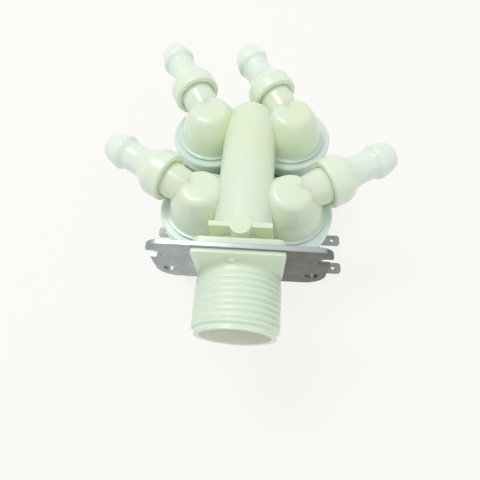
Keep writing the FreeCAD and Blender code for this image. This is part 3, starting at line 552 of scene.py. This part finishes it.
# the drawn solid's own outside, and the outside that the photograph shows in its place
drawn = {
    "turret": 12.05,
    "turretTop": 6.8,
    "turretRound": 7.3,
    "disc": -5.8,
    "manifold": ((4.25, 10.7), (15.5, 9.95), (58.4, 9.4)),
    "dome": (58.4, 9.4),
    "underside": -4.6,
    "bore": 10.3,
    "boreEnd": 2.05,
    "boreDome": 7.3,
    "plateFront": -1.2,
    "plateCorner": (11.0, 14.9, 2.4),
}
shown = {
    "turret": [(-5.79, 13.3, 0), (-5.78, 12.05, 0.7), (0.2, 10.75, 3.4), (7.05, 6.5, 2.0), (7.05, 0.02, 0)],
    "manifold": [(4.25, 10.71, 0), (15.5, 9.96, 3.5), (56.0, 9.45, 5.5), (65.0, 7.9, 1.9), (65.0, 0.02, 0)],
    "arc": (58.4, 116, 146),
    "neck": [(2.0, 5.6, 0), (12.0, 6.4, 4.0), (13.75, 6.4, 0)],
    "bore": 10.75,
    "boreDomeShare": 0.6,
    "cornerPower": 7,
    "nub": [(0.0, 1.5, 0), (0.9, 1.25, 0.6), (1.15, 0.02, 0)],
    "nubPlace": (-1.8, -1.15, 13.45),
    "around": {"turret": 128, "neck": 96, "manifold": 160, "nub": 40},
}
# millimetres within which a corner counts as on a drawn surface, ring, level or start; corner is a share
touch = {"surface": 0.03, "ring": 0.05, "level": 0.01, "start": 0.001, "corner": 0.02}


def onTurret(point, centre):
    # whether a corner lies on the drawn turret: its cylinder, its rounded shoulder or its flat top
    reach = math.hypot(point[0] - centre[0], point[1] - centre[1])
    level = drawn["turretTop"] - drawn["turretRound"]
    flat = drawn["turret"] - drawn["turretRound"]
    if point[2] < drawn["disc"] - touch["surface"]:
        return False
    if point[2] <= level:
        return abs(reach - drawn["turret"]) < touch["surface"]
    if point[2] > drawn["turretTop"] - touch["level"] and reach < flat + touch["ring"]:
        return True
    return abs(math.hypot(reach - flat, point[2] - level) - drawn["turretRound"]) < touch["surface"]


def onManifold(point):
    # whether a corner lies on the drawn manifold: its two cones or the dome at their end
    reach = math.hypot(point[0], point[2])
    start, radius = drawn["dome"]
    if point[1] > start - touch["start"]:
        return abs(math.hypot(reach, point[1] - start) - radius) < touch["surface"]
    places, sizes = zip(*drawn["manifold"])
    beside = abs(reach - np.interp(point[1], places, sizes)) < touch["surface"]
    return point[1] > places[0] - touch["start"] and beside


def skin(work, profile, origin, axis, around, arc=None):
    # an open profile carried round its axis; arc gives a place and the degrees kept on either side of the top
    # before that place and beyond it
    points = turned(profile, around, origin, axis).reshape(len(profile), around, 3)
    vertices = [[work.verts.new(Vector(point) * mm) for point in row] for row in points]
    for row in range(len(profile) - 1):
        for k in range(around):
            following = (k + 1) % around
            if arc is not None:
                middle = (points[row, k] + points[row + 1, following]) / 2
                kept = arc[1] if middle[1] < arc[0] else arc[2]
                if abs(math.degrees(math.atan2(middle[0], middle[2]))) > kept:
                    continue
            near, far = vertices[row], vertices[row + 1]
            work.faces.new((near[k], near[following], far[following], far[k]))
    loose = [vertex for row in vertices for vertex in row if not vertex.link_faces]
    bmesh.ops.delete(work, geom=loose, context="VERTS")


def tailLine(station):
    # where a hose tail's line leaves its turret's axis, and the line's direction
    mount = mounts["hose_tail_" + station]
    axis = np.array(mount["axis"])
    return np.array(mount["pos_m"]) / mm - axis * tailReach, axis


def wornFaces(work, tails):
    # the faces that another outside replaces: the turrets, and the manifold's upper side with its dome
    start = drawn["dome"][0]
    worn = []
    for face in work.faces:
        corners = [vertex.co / mm for vertex in face.verts]
        middle = sum(corners, Vector()) / len(corners)
        if any(all(onTurret(corner, origin) for corner in corners) for origin, axis in tails):
            worn.append(face)
        elif all(onManifold(corner) for corner in corners):
            outward = face.normal.x * middle.x + face.normal.z * middle.z
            outward += face.normal.y * max(middle.y - start, 0)
            if outward > 0 and (middle.z > drawn["underside"] or middle.y > start):
                worn.append(face)
    return worn


def moveCorners(work):
    # the inlet's bore gets wider, the manifold's bore flatter at its end and the collar plate's corners
    # squarer: across to a power and up to that power, both in shares of the corner's radius, add up to one
    start = drawn["dome"][0]
    side, top, radius = drawn["plateCorner"]
    power = shown["cornerPower"]
    for vertex in work.verts:
        point = vertex.co / mm
        reach = math.hypot(point.x, point.z)
        beyond = point.y - start
        if abs(reach - drawn["bore"]) < touch["surface"] and point.y < drawn["boreEnd"]:
            vertex.co.x *= shown["bore"] / reach
            vertex.co.z *= shown["bore"] / reach
        if beyond > 0 and abs(math.hypot(reach, beyond) - drawn["boreDome"]) < touch["ring"]:
            vertex.co.y = (start + beyond * shown["boreDomeShare"]) * mm
        onPlate = drawn["plateFront"] - touch["level"] < point.y < touch["level"]
        if onPlate and abs(point.x) > side + touch["level"] and point.z > top + touch["level"]:
            across = (abs(point.x) - side) / radius
            up = (point.z - top) / radius
            if abs(math.hypot(across, up) - 1) < touch["corner"]:
                grow = (across ** power + up ** power) ** (-1 / power)
                vertex.co.x = math.copysign((side + radius * across * grow) * mm, point.x)
                vertex.co.z = (top + radius * up * grow) * mm


def reshapeBody(work):
    # turrets become bells and the manifold gets a tapered flat end
    tails = [tailLine(station) for station in stations]
    bmesh.ops.delete(work, geom=wornFaces(work, tails), context="FACES")
    moveCorners(work)
    around = shown["around"]
    for origin, axis in tails:
        foot = (origin[0], origin[1], 0)
        skin(work, roundedLine(shown["turret"]), foot, (0, 0, 1), around["turret"])
        skin(work, roundedLine(shown["neck"]), origin, axis, around["neck"])
    profile = splitAt(roundedLine(shown["manifold"]), shown["arc"][0])
    skin(work, profile, (0, 0, 0), (0, 1, 0), around["manifold"], shown["arc"])
    skin(work, roundedLine(shown["nub"]), shown["nubPlace"], (0, -1, 0), around["nub"])


def makeBody():
    piece = mergedCopy("valve_body", "valve_body_finish", 0)
    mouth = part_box("valve_body")[0].y / mm
    foot = drawn["plateFront"]
    points, rows = threadSurface(mouth, foot, thread)
    columns = thread["columns"]
    work = bmesh.new()
    work.from_mesh(piece.data)
    # the smooth outside of the tube goes, between the mouth and the collar plate
    smooth = []
    for face in work.faces:
        middle = face.calc_center_median() / mm
        reach = math.hypot(middle.x, middle.z)
        outward = face.normal.x * middle.x + face.normal.z * middle.z
        outside = outward > thread["facing"] * reach and reach > thread["root"] - thread["slack"]
        if mouth < middle.y < foot and outside:
            smooth.append(face)
    bmesh.ops.delete(work, geom=smooth, context="FACES")
    border = [edge for edge in work.edges if edge.is_boundary]
    vertices = [work.verts.new(point) for point in points * mm]
    work.verts.index_update()
    for quad in gridFaces(rows, columns, False, True):
        work.faces.new([vertices[index] for index in quad])
    first = vertices[:columns]
    last = vertices[-columns:]
    for ring, place in ((first, mouth), (last, foot)):
        near = [edge for edge in border if abs(edge.verts[0].co.y / mm - place) < touch["ring"]]
        own = {frozenset((ring[k], ring[(k + 1) % columns])) for k in range(columns)}
        ringEdges = [edge for vertex in ring for edge in vertex.link_edges if frozenset(edge.verts) in own]
        if near:
            bmesh.ops.bridge_loops(work, edges=near + list(set(ringEdges)))
    bmesh.ops.remove_doubles(work, verts=work.verts, dist=weld)
    bmesh.ops.recalc_face_normals(work, faces=work.faces)
    reshapeBody(work)
    work.to_mesh(piece.data)
    work.free()
    piece.data.materials.append(finishes["body"])
    smoothShade(piece.data, smoothLimit)
    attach(piece, housing)
    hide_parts("valve_body")
    print("valve body", len(piece.data.polygons), "faces")


makeBody()


# Nozzles

tail = {
    "tip": tailReach,
    "tipRadius": 4.45,
    "bore": 3.5,
    "crown": 37.2,
    "crownRadius": 5.45,
    "barb": 32.7,
    "barbRadius": 6.55,
    "pipeEnd": 31.0,
    "pipe": 5.25,
    "pipeStart": 26.3,
    "coneEnd": 23.3,
    "coneRadius": 5.75,
    "shoulder": 19.3,
    "collar": 8.85,
    "collarStart": 13.2,
    "ring": 7.0,
    "ringDeep": 0.6,
    "socket": 5.85,
    "socketEnd": 20.65,
    "around": 96,
}


def makeNozzle(name):
    # a closed profile (distance from the turret's axis, radius, rounding) turned about the tail's line
    origin, axis = tailLine(name)
    corners = [
        (tail["collarStart"], tail["ring"], 0.25),
        (tail["collarStart"], tail["collar"], 0.7),
        (tail["shoulder"], tail["collar"], 1.8),
        (tail["coneEnd"], tail["coneRadius"], 1.6),
        (tail["pipeStart"], tail["pipe"], 1.6),
        (tail["pipeEnd"], tail["pipe"], 0.9),
        (tail["barb"], tail["barbRadius"], 1.1),
        (tail["crown"], tail["crownRadius"], 1.0),
        (tail["tip"], tail["tipRadius"], 0.7),
        (tail["tip"], tail["bore"], 0.35),
        (tail["socketEnd"], tail["bore"], 0.15),
        (tail["socketEnd"], tail["socket"], 0.15),
        (tail["collarStart"] + tail["ringDeep"], tail["socket"], 0.1),
        (tail["collarStart"] + tail["ringDeep"], tail["ring"], 0.3),
    ]
    profile = roundedLoop(corners)
    points = turned(profile, tail["around"], origin, axis)
    faces = gridFaces(len(profile), tail["around"], True, True)
    piece = linkMesh("nozzle_%s_finish" % name, points, faces, finishes["nozzle"], 50)
    share = (profile[:, 0] - tail["collarStart"]) / (tail["tip"] - tail["collarStart"])
    layer = piece.data.attributes.new("along", "FLOAT", "POINT")
    layer.data.foreach_set("value", np.repeat(share, tail["around"]).astype(np.float32))
    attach(piece, housing)
    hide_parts("nozzle_" + name)


for station in stations:
    makeNozzle(station)
print("nozzles")


# Return springs, each with a mesh of its own

coil = {"turns": 5.0, "wire": 0.3, "radius": 3.2, "around": 10, "stepsToTurn": 36, "flatTurns": 0.9}


def makeSpring(name):
    # a round wire along a helix: its height rises by the wire's thickness over the first and the last flat
    # turns and evenly between them
    low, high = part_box("return_spring_" + name)
    middle = (low + high) / 2 / mm
    bottom = low.z / mm + coil["wire"]
    top = high.z / mm - coil["wire"]
    turns = coil["turns"] + 2 * coil["flatTurns"]
    steps = int(turns * coil["stepsToTurn"])
    travelled = np.linspace(0, turns, steps)
    rise = np.clip((travelled - coil["flatTurns"]) / coil["turns"], 0, 1)
    closed = coil["wire"] * 2
    height = bottom + (top - bottom - 2 * closed) * rise
    height += closed * (np.clip(travelled / coil["flatTurns"], 0, 1)
                        + np.clip((travelled - turns) / coil["flatTurns"] + 1, 0, 1))
    turn = travelled * 2 * np.pi
    outwards = np.stack([np.cos(turn), np.sin(turn), np.zeros(steps)], -1)
    axisLine = np.stack([np.full(steps, middle.x), np.full(steps, middle.y), height], -1)
    centre = axisLine + coil["radius"] * outwards
    forwards = np.gradient(centre, axis=0)
    forwards /= np.linalg.norm(forwards, axis=1)[:, None]
    upwards = np.cross(forwards, outwards)
    section = np.linspace(0, 2 * np.pi, coil["around"], endpoint=False)
    ring = np.cos(section)[:, None] * outwards[:, None] + np.sin(section)[:, None] * upwards[:, None]
    points = (centre[:, None] + ring * coil["wire"]).reshape(-1, 3)
    points = np.concatenate([points, centre[:1], centre[-1:]])
    around = coil["around"]
    faces = gridFaces(steps, around, False, True)
    last = (steps - 1) * around
    for k in range(around):
        faces.append([steps * around, (k + 1) % around, k])
        faces.append([steps * around + 1, last + k, last + (k + 1) % around])
    piece = linkMesh("return_spring_%s_finish" % name, points, faces, finishes["spring"], 60)
    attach(piece, housing)
    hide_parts("return_spring_" + name)
    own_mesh(piece)


for station in stations:
    makeSpring(station)
print("springs")


# Diaphragms: the middle lifts with its insert, the rim and the membrane stay clamped

rubberDisc = {
    "stem": 2.35,
    "middle": 6.9,
    "lap": 0.3,
    "membrane": (-9.05, -9.75),
    "beadInner": 10.9,
    "beadHalf": 0.8,
    "slack": 0.01,
    "around": 96,
}


def diskFoot(node):
    # lowest level of the thick middle, read from the solid's own corners within the middle's radius
    mesh = frame["nodes"][node].data
    low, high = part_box(node)
    centre = (low + high) / 2
    reach = (rubberDisc["middle"] + rubberDisc["slack"]) * mm
    levels = [vertex.co.z for vertex in mesh.vertices
              if math.hypot(vertex.co.x - centre.x, vertex.co.y - centre.y) < reach]
    return min(levels) / mm


def makeDiaphragm(name):
    # two closed profiles (height, radius, rounding) turned about the chamber's axis; the membrane laps into
    # the middle
    node = "diaphragm_" + name
    low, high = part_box(node)
    centre = (low + high) / 2 / mm
    bead = (high.x - low.x) / 2 / mm
    top, foot = rubberDisc["membrane"]
    roof = high.z / mm
    base = diskFoot(node)
    beadFoot = (top + foot) / 2 - rubberDisc["beadHalf"]
    beadRoof = (top + foot) / 2 + rubberDisc["beadHalf"]
    inner = rubberDisc["middle"] - rubberDisc["lap"]
    middle = [(base, rubberDisc["stem"], 0.1), (base, rubberDisc["middle"], 0.2),
              (roof, rubberDisc["middle"], 0.2), (roof, rubberDisc["stem"], 0.1)]
    rim = [(foot, inner, 0.1), (foot, rubberDisc["beadInner"], 0.2), (beadFoot, rubberDisc["beadInner"], 0.2),
           (beadFoot, bead, 0.2), (beadRoof, bead, 0.2), (beadRoof, rubberDisc["beadInner"], 0.2),
           (top, rubberDisc["beadInner"], 0.2), (top, inner, 0.1)]
    for label, corners, body in (("middle", middle, "insert_" + name), ("rim", rim, housing)):
        profile = roundedLoop(corners)
        points = turned(profile, rubberDisc["around"], (centre.x, centre.y, 0), (0, 0, 1))
        faces = gridFaces(len(profile), rubberDisc["around"], True, True)
        piece = linkMesh("%s_%s_finish" % (node, label), points, faces, finishes["rubber"])
        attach(piece, body)
        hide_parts(node)


for station in stations:
    makeDiaphragm(station)
print("diaphragms")


# Pieces that keep their own form

# each node's finish and the width of its soft edges in millimetres
dressing = {
    "guide_tube": ("guide", 0.2),
    "pilot_insert": ("insert", 0.08),
    "plunger": ("plunger", 0.1),
    "plunger_seal": ("rubber", 0.1),
    "bobbin": ("bobbin", 0.12),
    "winding": ("copper", 0.2),
    "coil_jacket": ("jacket", 0.15),
    "terminals": ("tin", 0.08),
    "yoke": ("yoke", 0.15),
    "coil_clip": ("clip", 0.06),
}
dressed("mounting_bracket", finishes["bracket"], 0.15)
dressed("inlet_strainer", finishes["strainer"], 0.08)
dressed("flow_regulator", finishes["regulator"], 0.1)
dressed("flow_washer", finishes["rubber"], 0.2)
for station in stations:
    for node, (finish, edge) in dressing.items():
        dressed("%s_%s" % (node, station), finishes[finish], edge)
print("dressed nodes")


# Floor, light and camera

floorLook = {
    "reach": 1.5,
    "colour": (0.88, 0.88, 0.87, 1),
    "rough": 0.9,
    "shine": 0.1,
    "glow": (1, 0.992, 0.965, 1),
    "glowShare": 0.8,
}


def seenRays(tree):
    # one for rays of the camera and of reflections, zero for light that only shines on the part
    light = tree.nodes.new("ShaderNodeLightPath")
    return combined(tree, "MAXIMUM", light.outputs["Is Camera Ray"], light.outputs["Is Glossy Ray"])


def makeFloor():
    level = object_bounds()[0].z
    mesh = bpy.data.meshes.new("floor")
    reach = floorLook["reach"]
    corners = [(-reach, -reach, level), (reach, -reach, level), (reach, reach, level), (-reach, reach, level)]
    mesh.from_pydata(corners, [], [(0, 1, 2, 3)])
    floor = linked("floor", mesh)
    material, tree, shader = newFinish("pale_floor")
    shader.inputs["Base Color"].default_value = floorLook["colour"]
    shader.inputs["Roughness"].default_value = floorLook["rough"]
    shader.inputs["Specular IOR Level"].default_value = floorLook["shine"]
    glow = tree.nodes.new("ShaderNodeEmission")
    glow.inputs["Color"].default_value = floorLook["glow"]
    mix = tree.nodes.new("ShaderNodeMixShader")
    tree.links.new(combined(tree, "MULTIPLY", seenRays(tree), floorLook["glowShare"]), mix.inputs[0])
    tree.links.new(shader.outputs["BSDF"], mix.inputs[1])
    tree.links.new(glow.outputs["Emission"], mix.inputs[2])
    tree.links.new(mix.outputs[0], tree.nodes["Material Output"].inputs["Surface"])
    mesh.materials.append(material)


worldLook = {"colour": (0.98, 0.99, 1.0, 1), "shining": 0.66, "seen": 1.0}


def makeWorld():
    world = bpy.data.worlds.new("studio")
    world.use_nodes = True
    tree = world.node_tree
    backdrop = tree.nodes["Background"]
    backdrop.inputs["Color"].default_value = worldLook["colour"]
    strength = remapped(tree, seenRays(tree), worldLook["shining"], worldLook["seen"])
    tree.links.new(strength, backdrop.inputs["Strength"])
    bpy.context.scene.world = world


lamps = {
    "window": {"place": (-0.22, 0.20, 0.55), "size": 0.2, "power": 1.15, "tint": (1.0, 1.0, 0.98)},
    "fill": {"place": (0.35, -0.35, 0.45), "size": 0.5, "power": 0.35, "tint": (0.96, 0.98, 1.0)},
}


lampAim = (0, 0.03, -0.01)


def makeLamp(name, settings):
    data = bpy.data.lights.new(name, "AREA")
    data.shape = "SQUARE"
    data.size = settings["size"]
    data.energy = settings["power"]
    data.color = settings["tint"]
    place = Vector(settings["place"])
    aim = Vector(lampAim) - place
    lamp = linked(name, data)
    lamp.matrix_world = Matrix.Translation(place) @ aim.to_track_quat("-Z", "Y").to_matrix().to_4x4()


# the photograph's viewpoint, distances in millimetres
viewpoint = {
    "distance": 123.944,
    "azimuth": 7.795,
    "elevation": 64.34,
    "roll": -4.105,
    "target": (-0.728, 11.143, 0.0),
    "lens": 28.31,
    "sensor": 36.0,
}


def makeCamera(view):
    azimuth, elevation, roll = (math.radians(view[key]) for key in ("azimuth", "elevation", "roll"))
    back = Vector((math.sin(azimuth) * math.cos(elevation), -math.cos(azimuth) * math.cos(elevation),
                   math.sin(elevation)))
    level = Vector((math.cos(azimuth), math.sin(azimuth), 0))
    upright = back.cross(level)
    right = math.cos(roll) * level + math.sin(roll) * upright
    up = -math.sin(roll) * level + math.cos(roll) * upright
    place = (Vector(view["target"]) + back * view["distance"]) * mm
    data = bpy.data.cameras.new("camera")
    data.sensor_width = view["sensor"]
    data.lens = view["lens"]
    data.clip_start = 0.005
    camera = linked("camera", data)
    columns = [right, up, back, place]
    camera.matrix_world = Matrix([[column[k] for column in columns] for k in range(3)] + [[0, 0, 0, 1]])
    bpy.context.scene.camera = camera


makeFloor()
makeWorld()
for name, settings in lamps.items():
    makeLamp(name, settings)
makeCamera(viewpoint)
bpy.context.scene.view_settings.view_transform = "Standard"
print("stage and camera")
